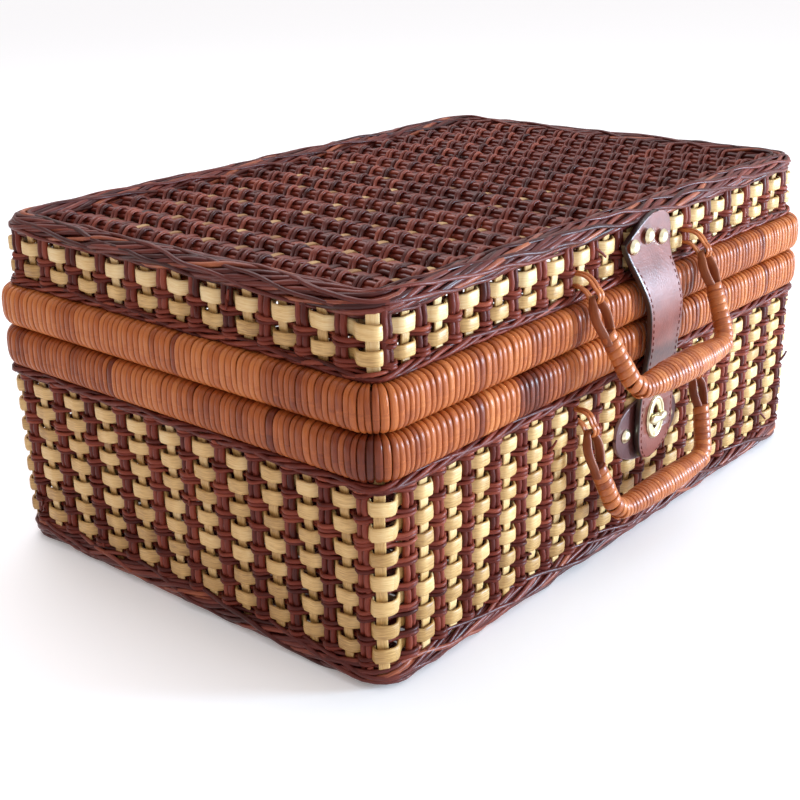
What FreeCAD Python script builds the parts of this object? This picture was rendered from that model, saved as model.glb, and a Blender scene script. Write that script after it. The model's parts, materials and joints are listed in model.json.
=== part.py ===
import FreeCAD, Part
import math
import os

# Wicker picnic case: a woven base and a woven lid, each with a cane-wrapped rim, joined by two
# pin hinges at the back. A bail handle hangs on each half of the front, and a riveted leather
# strap comes down from the lid and closes over a turn-lock on the base.
# Millimetres. +X right along the front, the front faces -Y, +Z up, origin on the ground at the
# middle of the rims' plan.

V = FreeCAD.Vector

# driving dimensions
RIM_X = 460.0
RIM_Y = 314.0
RIM_CORNER = 20.0
RIM_HEIGHT = 25.0
RIM_DEPTH = 19.0
RIM_ROUND = 4.0
RIM_GAP = 0.6
Z_SPLIT = 141.0
Z_TOP = 209.5

# walls, as distances in from the rims' outer face
WALL_THICK = 5.0
BASE_WALL_IN = 5.0
LID_WALL_IN = 9.0
WEAVE_PROUD = 2.3
WRAP_THICK = 1.5
FIT = 0.2

# borders, waling bands and panels
FOOT_HEIGHT = 14.0
FOOT_IN = 2.5
FOOT_WIDTH = 14.0
BORDER_HEIGHT = 14.0
BORDER_IN = 7.0
BORDER_WIDTH = 15.0
BORDER_ROUND = 4.0
TOP_SUNK = 4.5
PANEL_THICK = 5.0
WALING_HEIGHT = 5.0
WALING_PROUD = 1.2

# handles
HANDLE_X = 8.0
AXIS_Y = -RIM_Y / 2 - 3.0
LID_AXIS_Z = 172.5
BASE_AXIS_Z = 93.0
LID_TILT = 25.0
BASE_TILT = 16.0
EYE_SPREAD = 61.0
LID_DROP = 59.0
BASE_DROP = 54.0
EYE_TUBE = 1.9
EYE_HALF_WIDTH = 4.5
EYE_LENGTH = 24.0
ARM_FLARE = 5.0
ARM_RADIUS = 5.2
GRIP_RADIUS = 6.2
GRIP_SWELL = 2.4
CORE_RADIUS = 3.4
BEND_RADIUS = 12.0
LOOP_ROD = 1.6
LOOP_RADIUS = 5.0
LOOP_RISE = 11.0

# strap
STRAP_X = 21.5
TAB_X = 15.0
STRAP_THICK = 2.6
STRAP_TOP = 206.0
STRAP_TIP = 52.0
FOLD_Z = 184.0
TAB_HALF = 24.0
FOLD_HALF = 21.5
WAIST_HALF = 15.5
END_HALF = 18.5
RIVET_RADIUS = 4.4
RIVET_PITCH = 16.0
RIVET_Z = 190.0
SHANK_RADIUS = 1.2

# turn-lock
LOCK_Z = 77.5
PATCH_Z = 71.0
PATCH_HALF_X = 35.5
PATCH_HALF_Z = 20.5
PATCH_THICK = 2.4
PATCH_RIVET_X = 25.0
PLATE_THICK = 1.1
EYELET_HALF_X = 9.0
EYELET_HALF_Z = 14.0
SLOT_HALF_X = 3.2
SLOT_HALF_Z = 9.6
BOSS_RADIUS = 2.5
SPINDLE_RADIUS = 1.5
RUNNING_FIT = 0.05
WING_HALF_X = 8.8
WING_HALF_Z = 2.7
WING_DEPTH = 4.6

# hinges
HINGE_X = 140.0
HINGE_WIDTH = 46.0
KNUCKLES = 5
KNUCKLE_RADIUS = 3.0
KNUCKLE_GAP = 0.3
PIN_RADIUS = 1.5
LEAF_THICK = 1.2
LEAF_REACH = 20.0
HINGE_Y = RIM_Y / 2 + KNUCKLE_RADIUS + 0.5

BASE_FACE = BASE_WALL_IN - RIM_Y / 2
LID_FACE = LID_WALL_IN - RIM_Y / 2
LOW_RIM = Z_SPLIT - RIM_GAP / 2 - RIM_HEIGHT
LOW_RIM_TOP = Z_SPLIT - RIM_GAP / 2
HIGH_RIM = Z_SPLIT + RIM_GAP / 2
HIGH_RIM_TOP = Z_SPLIT + RIM_GAP / 2 + RIM_HEIGHT
BORDER_Z = Z_TOP - BORDER_HEIGHT

os.makedirs("parts", exist_ok=True)


def save(name, shape):
    solids = shape.Solids
    if not solids or not shape.isValid():
        raise RuntimeError(name + " is not a valid solid")
    out = solids[0] if len(solids) == 1 else Part.makeCompound(solids)
    out.exportStep("parts/" + name + ".step")


def box(x0, x1, y0, y1, z0, z1):
    return Part.makeBox(x1 - x0, y1 - y0, z1 - z0, V(x0, y0, z0))


def disc(x, y, z, radius, depth):
    """A round plate whose face is at y and which runs this deep towards +Y."""
    return Part.makeCylinder(radius, depth, V(x, y, z), V(0, 1, 0))


def oval_plate(x, y, z, half_x, half_z, thick):
    """An upright plate with round ends, its front face at y."""
    radius = min(half_x, half_z)
    run_x = half_x - radius
    run_z = half_z - radius
    if run_x > 0:
        middle = box(x - run_x, x + run_x, y, y + thick, z - radius, z + radius)
    else:
        middle = box(x - radius, x + radius, y, y + thick, z - run_z, z + run_z)
    ends = [disc(x + s * run_x, y, z + s * run_z, radius, thick) for s in (-1, 1)]
    return middle.fuse(ends).removeSplitter()


# ---- shells of the case: rings and plates that follow the rims' plan ----


def rounded_plate(inset, z0, z1):
    """A rounded rectangle, this far in from the rims' outer face, between two heights."""
    a = RIM_X / 2 - inset
    b = RIM_Y / 2 - inset
    block = box(-a, a, -b, b, z0, z1)
    upright = [e for e in block.Edges if e.BoundBox.ZLength > 0.5 * (z1 - z0)]
    return block.makeFillet(max(RIM_CORNER - inset, 5.0), upright)


def ring(inset_out, inset_in, z0, z1):
    return rounded_plate(inset_out, z0, z1).cut(rounded_plate(inset_in, z0 - 1, z1 + 1))


def soft_ring(inset_out, inset_in, z0, z1, radius):
    """A ring with its top and bottom edges rounded over."""
    shape = ring(inset_out, inset_in, z0, z1)
    level = [e for e in shape.Edges if e.BoundBox.ZLength < 0.01]
    return shape.makeFillet(radius, level)


def side_wedge(side, z0, z1):
    """The part of the plan that belongs to one side, cut along the mitres of the corners."""
    dx = (RIM_X - RIM_Y) / 2
    far = RIM_Y
    plans = {
        "front": [(-dx, 0), (-dx - far, -far), (dx + far, -far), (dx, 0)],
        "back": [(-dx, 0), (dx, 0), (dx + far, far), (-dx - far, far)],
        "left": [(-dx, 0), (-dx - far, far), (-dx - far, -far)],
        "right": [(dx, 0), (dx + far, -far), (dx + far, far)],
    }
    points = [V(x, y, z0) for x, y in plans[side]]
    return Part.Face(Part.makePolygon(points + points[:1])).extrude(V(0, 0, z1 - z0))


def walls(prefix, inset, z0, z1):
    shell = ring(inset, inset + WALL_THICK, z0, z1)
    for side in ("front", "back", "left", "right"):
        save(prefix + "_wall_" + side, shell.common(side_wedge(side, z0, z1)))


def rim(prefix, wall_in, z0, z1, slot_z0, slot_z1):
    """The two hoops that clamp the wall's edge, and the cane wound round both."""
    wall_out = wall_in + WALL_THICK
    hoop_z = (z0 + WRAP_THICK + FIT, z1 - WRAP_THICK - FIT)
    save(prefix + "_rim_outer_hoop", ring(WRAP_THICK + FIT, wall_in - FIT, *hoop_z))
    save(prefix + "_rim_inner_hoop", ring(wall_out + FIT, RIM_DEPTH - WRAP_THICK - FIT, *hoop_z))
    wrap = soft_ring(0, RIM_DEPTH, z0, z1, RIM_ROUND)
    hollow = ring(WRAP_THICK, RIM_DEPTH - WRAP_THICK, z0 + WRAP_THICK, z1 - WRAP_THICK)
    slot = ring(wall_in - FIT, wall_out + FIT, slot_z0, slot_z1)
    save(prefix + "_rim_wrap", wrap.cut(hollow).cut(slot))


# ---- handles ----


def rod(points, radius):
    """Round rod along straight runs, with a ball at each inner corner so that it turns cleanly."""
    pieces = [Part.makeSphere(radius, p) for p in points[1:-1]]
    for a, b in zip(points[:-1], points[1:]):
        pieces.append(Part.makeCylinder(radius, (b - a).Length, a, b - a))
    return pieces[0].fuse(pieces[1:]).removeSplitter()


def racetrack(radius, length, tube):
    """A long ring in the XY plane: a half circle round the origin, legs along +Y, a half circle."""
    below = box(-3 * radius, 3 * radius, -3 * radius, 0, -3 * tube, 3 * tube)
    low = Part.makeTorus(radius, tube, V(0, 0, 0), V(0, 0, 1)).common(below)
    high = low.copy()
    high.rotate(V(0, 0, 0), V(0, 0, 1), 180)
    high.translate(V(0, length, 0))
    legs = [Part.makeCylinder(tube, length, V(s * radius, 0, 0), V(0, 1, 0)) for s in (-1, 1)]
    return low.fuse([high] + legs).removeSplitter()


def wall_loop(x, axis_z, face_y):
    """The cane loop that comes through the weave, and that a handle's eye hangs on."""
    reach = V(0, face_y + WALL_THICK / 2 - AXIS_Y, LOOP_RISE)
    loop = racetrack(LOOP_RADIUS, reach.Length, LOOP_ROD)
    loop.rotate(V(0, 0, 0), V(0, 1, 0), 90)
    loop.rotate(V(0, 0, 0), V(1, 0, 0), math.degrees(math.atan2(reach.z, reach.y)))
    loop.translate(V(x, AXIS_Y, axis_z))
    return loop


def spindle(half_length):
    """A handle's grip, along X: it swells towards its middle."""
    steps = [step / 8 for step in range(-8, 9)]
    top = [V(half_length * t, 0, GRIP_RADIUS + GRIP_SWELL * math.cos(math.pi * t / 2)) for t in steps]
    outline = [V(-half_length, 0, 0)] + top + [V(half_length, 0, 0)]
    face = Part.Face(Part.makePolygon(outline + outline[:1]))
    return face.revolve(V(0, 0, 0), V(1, 0, 0), 360)


def bail_path(drop):
    """A handle's centre line in the XZ plane, below its axis: the left arm, then the right arm."""
    x_low = EYE_SPREAD - ARM_FLARE
    arm = [
        V(EYE_SPREAD, 0, 3.0 - EYE_LENGTH),
        V(x_low + 1.5, 0, BEND_RADIUS - drop),
        V(x_low - 0.3 * BEND_RADIUS, 0, 0.3 * BEND_RADIUS - drop),
        V(x_low - BEND_RADIUS, 0, -drop),
    ]
    return [V(-p.x, p.y, p.z) for p in arm], list(reversed(arm))


def hang(shape, axis_z, tilt):
    """Moves a shape from the handle's own plane to where the handle hangs."""
    shape.rotate(V(0, 0, 0), V(1, 0, 0), -tilt)
    shape.translate(V(HANDLE_X, AXIS_Y, axis_z))
    return shape


def handle(prefix, axis_z, tilt, drop):
    left, right = bail_path(drop)
    core = rod(left + right, CORE_RADIUS)
    hollow = rod(left + right, CORE_RADIUS + FIT)
    save(prefix + "_core", hang(core, axis_z, tilt))
    grip = spindle(right[0].x)
    grip.translate(V(0, 0, -drop))
    for side, arm, sign in (("left", left, -1), ("right", right, 1)):
        wrap = rod(arm, ARM_RADIUS).cut(hollow).cut(grip)
        save(prefix + "_arm_wrap_" + side, hang(wrap, axis_z, tilt))
        eye = racetrack(EYE_HALF_WIDTH, EYE_LENGTH - 2 * EYE_HALF_WIDTH, EYE_TUBE)
        eye.rotate(V(0, 0, 0), V(1, 0, 0), -90)
        eye.translate(V(sign * EYE_SPREAD, 0, -EYE_HALF_WIDTH))
        eye = eye.cut(rod(arm, ARM_RADIUS)).cut(core)
        save(prefix + "_eye_" + side, hang(eye, axis_z, tilt))
    save(prefix + "_grip_wrap", hang(grip.cut(hollow), axis_z, tilt))


# ---- strap, rivets and turn-lock ----


def strap_middle(z):
    """The strap hangs a little askew: its middle moves sideways from the fold to the split."""
    share = (FOLD_Z - z) / (FOLD_Z - Z_SPLIT)
    return TAB_X + (STRAP_X - TAB_X) * min(max(share, 0), 1)


def leather_band(path, half_widths):
    """A leather band: its side view is a thick line along the path, its front view the plan."""
    back = [V(0, y, z) for y, z in path]
    front = []
    for i, p in enumerate(back):
        run = (back[min(i + 1, len(back) - 1)] - back[max(i - 1, 0)]).normalize()
        front.append(p + V(0, run.z, -run.y) * STRAP_THICK)
    outline = back + list(reversed(front))
    band = Part.Face(Part.makePolygon(outline + outline[:1])).extrude(V(4 * TAB_HALF, 0, 0))
    band.translate(V(STRAP_X - 2 * TAB_HALF, 0, 0))
    left = [V(strap_middle(z) - w, -RIM_Y, z) for z, w in half_widths]
    right = [V(strap_middle(z) + w, -RIM_Y, z) for z, w in reversed(half_widths) if w > 0.01]
    plan = left + right
    return band.common(Part.Face(Part.makePolygon(plan + plan[:1])).extrude(V(0, RIM_Y, 0)))


def round_end(z_middle, reach, half):
    """The plan of a strap's end: a quarter of an ellipse, down or up by this reach."""
    turns = [math.radians(15 * step) for step in range(7)]
    return [(z_middle + reach * math.sin(t), half * math.cos(t)) for t in turns]


def rivet(x, y, z, length):
    """A domed head in front of y, with a shank that goes back from it."""
    sphere = RIVET_RADIUS * 1.2
    dome = Part.makeSphere(sphere, V(x, y + math.sqrt(sphere**2 - RIVET_RADIUS**2), z))
    head = dome.common(box(x - 9, x + 9, y - 9, y, z - 9, z + 9))
    return head.fuse(disc(x, y, z, SHANK_RADIUS, length)).removeSplitter()


def strap():
    tab_back = LID_FACE - WEAVE_PROUD
    fold_back = tab_back - WEAVE_PROUD
    tab_path = [(tab_back, STRAP_TOP), (tab_back, RIVET_Z + 1), (fold_back, FOLD_Z + FIT)]
    tab_plan = [(FOLD_Z, FOLD_HALF), (RIVET_Z, TAB_HALF), (RIVET_Z + 6, TAB_HALF - 3)]
    tab_plan += round_end(RIVET_Z + 9, 6.0, 12.0)
    heads = []
    for step, lift in ((-1, 0.0), (0, 3.5), (1, 0.0)):
        x = TAB_X + step * RIVET_PITCH
        heads.append(rivet(x, tab_back - STRAP_THICK, RIVET_Z + lift, STRAP_THICK))
    rivets = Part.makeCompound(heads)
    save("strap_rivets", rivets)
    save("strap_tab", leather_band(tab_path, tab_plan).cut(rivets))

    rim_front = -RIM_Y / 2
    path = [
        (fold_back, FOLD_Z - FIT),
        (rim_front - 0.8, HIGH_RIM_TOP + 1),
        (rim_front - 2.6, HIGH_RIM_TOP - 12),
        (rim_front - 3.0, Z_SPLIT),
        (rim_front - 2.2, Z_SPLIT - 19),
        (rim_front - 0.4, LOW_RIM - 12),
        (rim_front + 1.0, LOCK_Z + EYELET_HALF_Z + 3),
        (rim_front + 1.0, STRAP_TIP - 2),
    ]
    plan = [
        (FOLD_Z, FOLD_HALF),
        (HIGH_RIM_TOP, FOLD_HALF - 1),
        (Z_SPLIT + 4, WAIST_HALF + 1),
        (Z_SPLIT - 16, WAIST_HALF),
        (LOW_RIM - 10, WAIST_HALF + 1.5),
        (LOW_RIM - 28, END_HALF),
    ]
    plan += round_end(STRAP_TIP + 18, -18.0, END_HALF)
    face_y = rim_front + 1.0 - STRAP_THICK
    slot = oval_plate(STRAP_X, face_y - 5, LOCK_Z, SLOT_HALF_X, SLOT_HALF_Z, 20)
    eyelet_y = face_y - PLATE_THICK
    eyelet = oval_plate(STRAP_X, eyelet_y, LOCK_Z, EYELET_HALF_X, EYELET_HALF_Z, PLATE_THICK)
    save("strap_tongue", leather_band(path, plan).cut(slot))
    save("strap_eyelet_plate", eyelet.cut(slot))
    return eyelet_y


def turn_lock(eyelet_y):
    """Leather patch on the wall, its rivets, the lock's plate and boss, and the toggle."""
    patch_y = BASE_FACE - PATCH_THICK
    plate_y = patch_y - PLATE_THICK / 2
    boss_y = eyelet_y - 0.4
    bore = disc(STRAP_X, boss_y - 1, LOCK_Z, SPINDLE_RADIUS + RUNNING_FIT, 20)
    plate = oval_plate(STRAP_X, plate_y, LOCK_Z, 8.0, 12.0, PLATE_THICK / 2)
    boss = disc(STRAP_X, boss_y, LOCK_Z, BOSS_RADIUS, plate_y - boss_y)
    save("turnlock_base", plate.fuse(boss).cut(bore).removeSplitter())
    places = [STRAP_X + s * PATCH_RIVET_X for s in (-1, 1)]
    rivets = Part.makeCompound([rivet(x, patch_y, PATCH_Z, PATCH_THICK) for x in places])
    patch = oval_plate(STRAP_X, patch_y, PATCH_Z, PATCH_HALF_X, PATCH_HALF_Z, PATCH_THICK)
    save("clasp_patch_rivets", rivets)
    save("clasp_patch", patch.cut(rivets))

    wing_y = boss_y - 0.3 - WING_DEPTH
    wing = oval_plate(STRAP_X, wing_y, LOCK_Z, WING_HALF_X, WING_HALF_Z, WING_DEPTH)
    for s in (-1, 1):
        pinch = disc(STRAP_X, wing_y - 1, LOCK_Z + s * 5.3, 4.0, WING_DEPTH + 2)
        wing = wing.cut(pinch)
    spindle = disc(STRAP_X, wing_y + 0.5, LOCK_Z, SPINDLE_RADIUS, patch_y - wing_y - 1.0)
    save("turnlock_toggle", wing.fuse(spindle).removeSplitter())


# ---- hinges ----


def hinge_leaf(x_middle, sign, knuckles):
    """One leaf: a plate on the rim's back, joined to its own knuckles round the pin."""
    half = HINGE_WIDTH / 2
    pitch = HINGE_WIDTH / KNUCKLES
    back = RIM_Y / 2
    near, far = KNUCKLE_RADIUS + 0.5, LEAF_REACH
    z_near, z_far = sorted((Z_SPLIT + sign * near, Z_SPLIT + sign * far))
    leaf = box(x_middle - half, x_middle + half, back, back + LEAF_THICK, z_near, z_far)
    for i in knuckles:
        x0 = x_middle - half + i * pitch + KNUCKLE_GAP / 2
        x1 = x0 + pitch - KNUCKLE_GAP
        z_low, z_high = sorted((Z_SPLIT, Z_SPLIT + sign * (near + 1)))
        web = box(x0, x1, back + 0.1, back + 0.1 + LEAF_THICK, z_low, z_high)
        barrel = Part.makeCylinder(KNUCKLE_RADIUS, x1 - x0, V(x0, HINGE_Y, Z_SPLIT), V(1, 0, 0))
        leaf = leaf.fuse([web, barrel])
    bore = Part.makeCylinder(
        PIN_RADIUS + RUNNING_FIT, 2 * HINGE_WIDTH, V(x_middle - HINGE_WIDTH, HINGE_Y, Z_SPLIT), V(1, 0, 0)
    )
    return leaf.cut(bore).removeSplitter()


def hinge_rivets(sign):
    """Three domed rivets in each leaf, pointing back."""
    heads = []
    for x_middle in (-HINGE_X, HINGE_X):
        for step in (-1, 0, 1):
            head = rivet(0, 0, 0, LEAF_THICK)
            head.rotate(V(0, 0, 0), V(0, 0, 1), 180)
            z = Z_SPLIT + sign * (LEAF_REACH - 7.5)
            head.translate(V(x_middle + step * 15.0, RIM_Y / 2 + LEAF_THICK, z))
            heads.append(head)
    return Part.makeCompound(heads)


def hinges():
    for name, sign, knuckles in (("lower", -1, (0, 2, 4)), ("upper", 1, (1, 3))):
        rivets = hinge_rivets(sign)
        leaves = [hinge_leaf(x, sign, knuckles) for x in (-HINGE_X, HINGE_X)]
        save("hinge_rivets_" + name, rivets)
        save("hinge_leaves_" + name, Part.makeCompound(leaves).cut(rivets))
    pins = []
    for x in (-HINGE_X, HINGE_X):
        start = V(x - HINGE_WIDTH / 2, HINGE_Y, Z_SPLIT)
        pins.append(Part.makeCylinder(PIN_RADIUS, HINGE_WIDTH, start, V(1, 0, 0)))
    save("hinge_pins", Part.makeCompound(pins))


# ---- the case ----

walls("base", BASE_WALL_IN, FOOT_HEIGHT, LOW_RIM_TOP - WRAP_THICK - FIT)
walls("lid", LID_WALL_IN, HIGH_RIM + WRAP_THICK + FIT, BORDER_Z)
rim("base", BASE_WALL_IN, LOW_RIM, LOW_RIM_TOP, LOW_RIM - 1, LOW_RIM_TOP - WRAP_THICK)
rim("lid", LID_WALL_IN, HIGH_RIM, HIGH_RIM_TOP, HIGH_RIM + WRAP_THICK, HIGH_RIM_TOP + 1)

foot_in = FOOT_IN + FOOT_WIDTH
save("base_foot_border", soft_ring(FOOT_IN, foot_in, 0, FOOT_HEIGHT, BORDER_ROUND))
save("base_floor_panel", rounded_plate(foot_in + FIT, 0, PANEL_THICK))

border_in = BORDER_IN + BORDER_WIDTH
panel_z = Z_TOP - TOP_SUNK - PANEL_THICK
save("lid_top_border", soft_ring(BORDER_IN, border_in, BORDER_Z, Z_TOP, BORDER_ROUND))
save("lid_top_panel", rounded_plate(border_in + FIT, panel_z, panel_z + PANEL_THICK))

# bands of twisted reed that finish the weave against each rim
band_z = LOW_RIM - WALING_HEIGHT
save("base_waling", ring(BASE_WALL_IN - WALING_PROUD, BASE_WALL_IN, band_z, LOW_RIM - FIT))
band_z = HIGH_RIM_TOP + WALING_HEIGHT
save("lid_waling", ring(LID_WALL_IN - WALING_PROUD, LID_WALL_IN, HIGH_RIM_TOP + FIT, band_z))

handle("lid_handle", LID_AXIS_Z, LID_TILT, LID_DROP)
handle("base_handle", BASE_AXIS_Z, BASE_TILT, BASE_DROP)
for side, sign in (("left", -1), ("right", 1)):
    loop_x = HANDLE_X + sign * EYE_SPREAD
    save("lid_handle_loop_" + side, wall_loop(loop_x, LID_AXIS_Z, LID_FACE))
    save("base_handle_loop_" + side, wall_loop(loop_x, BASE_AXIS_Z, BASE_FACE))

turn_lock(strap())
hinges()
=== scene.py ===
import json
import math

import bpy
import numpy as np
from mathutils import Matrix, Vector


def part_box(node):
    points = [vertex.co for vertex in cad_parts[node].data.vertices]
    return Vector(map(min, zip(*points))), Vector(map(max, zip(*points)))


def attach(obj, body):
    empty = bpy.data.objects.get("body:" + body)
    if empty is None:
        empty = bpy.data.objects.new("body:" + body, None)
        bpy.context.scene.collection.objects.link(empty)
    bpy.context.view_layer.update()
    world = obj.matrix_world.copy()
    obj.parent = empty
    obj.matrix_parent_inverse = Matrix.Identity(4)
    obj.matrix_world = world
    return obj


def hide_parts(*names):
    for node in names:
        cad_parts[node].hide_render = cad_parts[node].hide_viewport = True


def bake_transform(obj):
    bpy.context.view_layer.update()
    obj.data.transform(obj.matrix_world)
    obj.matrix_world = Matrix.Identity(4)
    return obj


# A woven wicker picnic case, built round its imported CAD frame. Lengths in this script are
# millimetres: Strands.build() turns them into metres. The front faces -Y.

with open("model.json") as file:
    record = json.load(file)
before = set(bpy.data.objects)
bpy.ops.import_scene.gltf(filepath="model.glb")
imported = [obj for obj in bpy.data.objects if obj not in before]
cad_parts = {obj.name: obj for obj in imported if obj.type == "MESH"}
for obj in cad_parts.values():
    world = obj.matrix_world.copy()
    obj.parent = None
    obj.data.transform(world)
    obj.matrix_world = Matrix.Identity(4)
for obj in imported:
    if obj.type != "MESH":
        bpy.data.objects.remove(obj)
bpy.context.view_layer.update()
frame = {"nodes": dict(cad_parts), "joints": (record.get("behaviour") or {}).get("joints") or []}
rng = np.random.default_rng(11)

MM = 0.001


def box(node):
    """The lowest and highest corner of a CAD node, in millimetres."""
    low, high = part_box(node)
    return np.array(low) / MM, np.array(high) / MM


# ---------------------------------------------------------------- strands


def oval(count, power=1.0):
    """A section that scales with the strand: a circle, or squarer as the power falls."""
    turn = (np.arange(count) + 0.5) * 2 * np.pi / count
    c, s = np.cos(turn), np.sin(turn)
    unit_a = np.sign(c) * np.abs(c) ** power
    unit_b = np.sign(s) * np.abs(s) ** power
    return np.stack([unit_a, unit_b], 1) / np.abs(unit_a).max(), np.zeros((count, 2))


def slab(corner):
    """A flat section whose corners keep this radius, whatever the strand's width. A point just
    inside each corner keeps the wide faces flat where they are shaded smooth."""
    quarter = (np.arange(6) + 0.5) * np.pi / 12
    inside = corner + 1.2
    signs, offsets = [], []
    for k, sign in enumerate(((1, 1), (-1, 1), (-1, -1), (1, -1))):
        turn = quarter + k * np.pi / 2
        arc = corner * (np.stack([np.cos(turn), np.sin(turn)], 1) - sign)
        brace = [(-sign[0] * inside, 0)]
        offsets.append(np.concatenate([arc, brace] if k % 2 == 0 else [brace, arc]))
        signs.append(np.tile(sign, (7, 1)))
    return np.concatenate(signs).astype(float), np.concatenate(offsets)


REED = oval(6)
ROD = oval(8)
PEEL = oval(8, 0.6)
STRIP = oval(10, 0.58)


def unit(v):
    return v / np.maximum(np.linalg.norm(v, axis=-1, keepdims=True), 1e-12)


class Strands:
    """Collects swept strands, and builds them as one piece.

    Each point carries the strand's tone, how far along it lies and how far to the side, so that
    a material can run its grain along every strand."""

    def __init__(self, name):
        self.name = name
        self.verts, self.quads, self.tris = [], [], []
        self.tone, self.run, self.side = [], [], []
        self.count = 0

    def add(self, points, out, width, thick, section=ROD, closed=False, tone=None):
        """A strand along points. Its width lies across out, and its thickness along out."""
        p = np.asarray(points, float)
        n = len(p)
        step = np.roll(p, -1, 0) - np.roll(p, 1, 0) if closed else np.gradient(p, axis=0)
        ahead = unit(step)
        across = unit(np.cross(ahead, np.broadcast_to(out, (n, 3))))
        up = np.cross(across, ahead)
        scale, offset = section
        half_a = np.broadcast_to(width, (n,))[:, None] / 2
        half_b = np.broadcast_to(thick, (n,))[:, None] / 2
        a = half_a * scale[:, 0] + offset[:, 0]
        b = half_b * scale[:, 1] + offset[:, 1]
        rings = p[:, None] + a[..., None] * across[:, None] + b[..., None] * up[:, None]
        m = len(scale)
        index = self.count + np.arange(n * m).reshape(n, m)
        here = index if closed else index[:-1]
        there = np.roll(index, -1, 0) if closed else index[1:]
        quads = np.stack([here, there, np.roll(there, -1, 1), np.roll(here, -1, 1)], -1)
        verts = rings.reshape(-1, 3)
        distance = np.concatenate([[0], np.cumsum(np.linalg.norm(np.diff(p, axis=0), axis=1))])
        run = np.repeat(distance + rng.uniform(0, 5000), m)
        side = (a / half_a).ravel()
        if not closed:
            start, end = self.count + n * m, self.count + n * m + 1
            first, last = index[0], index[-1]
            self.tris.append(np.stack([np.full(m, start), first, np.roll(first, -1)], 1))
            self.tris.append(np.stack([np.full(m, end), np.roll(last, -1), last], 1))
            verts = np.concatenate([verts, p[:1], p[-1:]])
            run = np.concatenate([run, run[:1], run[-1:]])
            side = np.concatenate([side, [0, 0]])
        self.quads.append(quads.reshape(-1, 4))
        self.verts.append(verts)
        self.run.append(run)
        self.side.append(side)
        tone = rng.uniform(0, 1) if tone is None else tone
        self.tone.append(np.full(len(verts), tone))
        self.count += len(verts)

    def mesh(self):
        quads = np.concatenate(self.quads)
        tris = np.concatenate(self.tris) if self.tris else np.zeros((0, 3), int)
        corners = np.concatenate([quads.ravel(), tris.ravel()])
        starts = np.concatenate([4 * np.arange(len(quads)), 4 * len(quads) + 3 * np.arange(len(tris))])
        mesh = bpy.data.meshes.new(self.name)
        mesh.vertices.add(self.count)
        mesh.vertices.foreach_set("co", (np.concatenate(self.verts) * MM).astype(np.float32).ravel())
        mesh.loops.add(len(corners))
        mesh.loops.foreach_set("vertex_index", corners.astype(np.int32))
        mesh.polygons.add(len(starts))
        mesh.polygons.foreach_set("loop_start", starts.astype(np.int32))
        mesh.polygons.foreach_set("use_smooth", np.ones(len(starts), bool))
        for name, parts in (("tone", self.tone), ("run", self.run), ("side", self.side)):
            attribute = mesh.attributes.new(name, "FLOAT", "POINT")
            attribute.data.foreach_set("value", np.concatenate(parts).astype(np.float32))
        mesh.update(calc_edges=True)
        return mesh

    def build(self, material, body, replaces=()):
        piece = bpy.data.objects.new(self.name, self.mesh())
        bpy.context.scene.collection.objects.link(piece)
        piece.data.materials.append(material)
        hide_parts(*replaces)
        if body:
            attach(piece, body)
        return piece


def wander(s, length, size, wave):
    """Smooth random drift along s that closes on itself after this length."""
    drift = 0
    for stretch in (0.55, 1.0, 1.9):
        waves = max(1, round(length / (wave * stretch)))
        drift = drift + np.sin(2 * np.pi * waves * s / length + rng.uniform(0, 2 * np.pi))
    return size * drift / 2


class Track:
    """A closed path round a rounded rectangle, from the left end of the front, rightwards."""

    def __init__(self, half_x, half_y, corner):
        a, b = half_x - corner, half_y - corner
        places, normals = [(-a, -half_y)], [(0.0, -1.0)]
        for cx, cy, start in ((a, -b, -90), (a, b, 0), (-a, b, 90), (-a, -b, 180)):
            for turn in np.radians(start + np.linspace(0, 90, 13)):
                normal = (math.cos(turn), math.sin(turn))
                places.append((cx + corner * normal[0], cy + corner * normal[1]))
                normals.append(normal)
        self.places, self.normals = np.array(places), np.array(normals)
        gaps = np.linalg.norm(np.diff(self.places, axis=0), axis=1)
        self.marks = np.concatenate([[0], np.cumsum(gaps)])
        self.length = self.marks[-1]
        self.a, self.b, self.arc = a, b, corner * np.pi / 2

    def corners(self):
        """The middle of each corner, from the front right one on."""
        half = self.arc / 2
        a, b, arc = 2 * self.a, 2 * self.b, self.arc
        return [a + half, a + b + arc + half, 2 * a + b + 2 * arc + half, self.length - half]

    def at(self, s):
        """Place and outward normal at s, as x, y, normal x, normal y."""
        s = np.mod(s, self.length)
        found = [np.interp(s, self.marks, self.places[:, k]) for k in (0, 1)]
        found += [np.interp(s, self.marks, self.normals[:, k]) for k in (0, 1)]
        return found

    def spot(self, side, value):
        """The distance s of an x on the front or back, or of a y on a side."""
        a, b, arc = self.a, self.b, self.arc
        if side == "front":
            return value + a
        if side == "right":
            return 2 * a + arc + value + b
        if side == "back":
            return 2 * a + 2 * b + 2 * arc + a - value
        return 4 * a + 2 * b + 3 * arc + b - value

    def points(self, s, out, z):
        """Points at s, this far outwards of the track and this high."""
        x, y, nx, ny = self.at(s)
        return np.stack([x + nx * out, y + ny * out, np.broadcast_to(z, np.shape(x))], -1)

    def out(self, s):
        x, y, nx, ny = self.at(s)
        return np.stack([nx, ny, np.zeros_like(nx)], -1)


# ---------------------------------------------------------------- woven walls

ROW_STEP = 1.9
FLAT_THICK = 1.5
STAKE_ROD = 3.6
BULGE = 2.5
SUNK = 0.6
REED_ROD = 2.3


def bowed(first, last, count, bow):
    """Places from first to last, whose middle ones crowd this far towards the first."""
    part = np.linspace(-1, 1, count)
    return np.linspace(first, last, count) - bow * (1 - part**2)


def ease(value, start, end):
    """0 before start, 1 after end, and smooth between them."""
    t = np.clip((value - start) / (end - start), 0, 1)
    return t * t * (3 - 2 * t)


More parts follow.
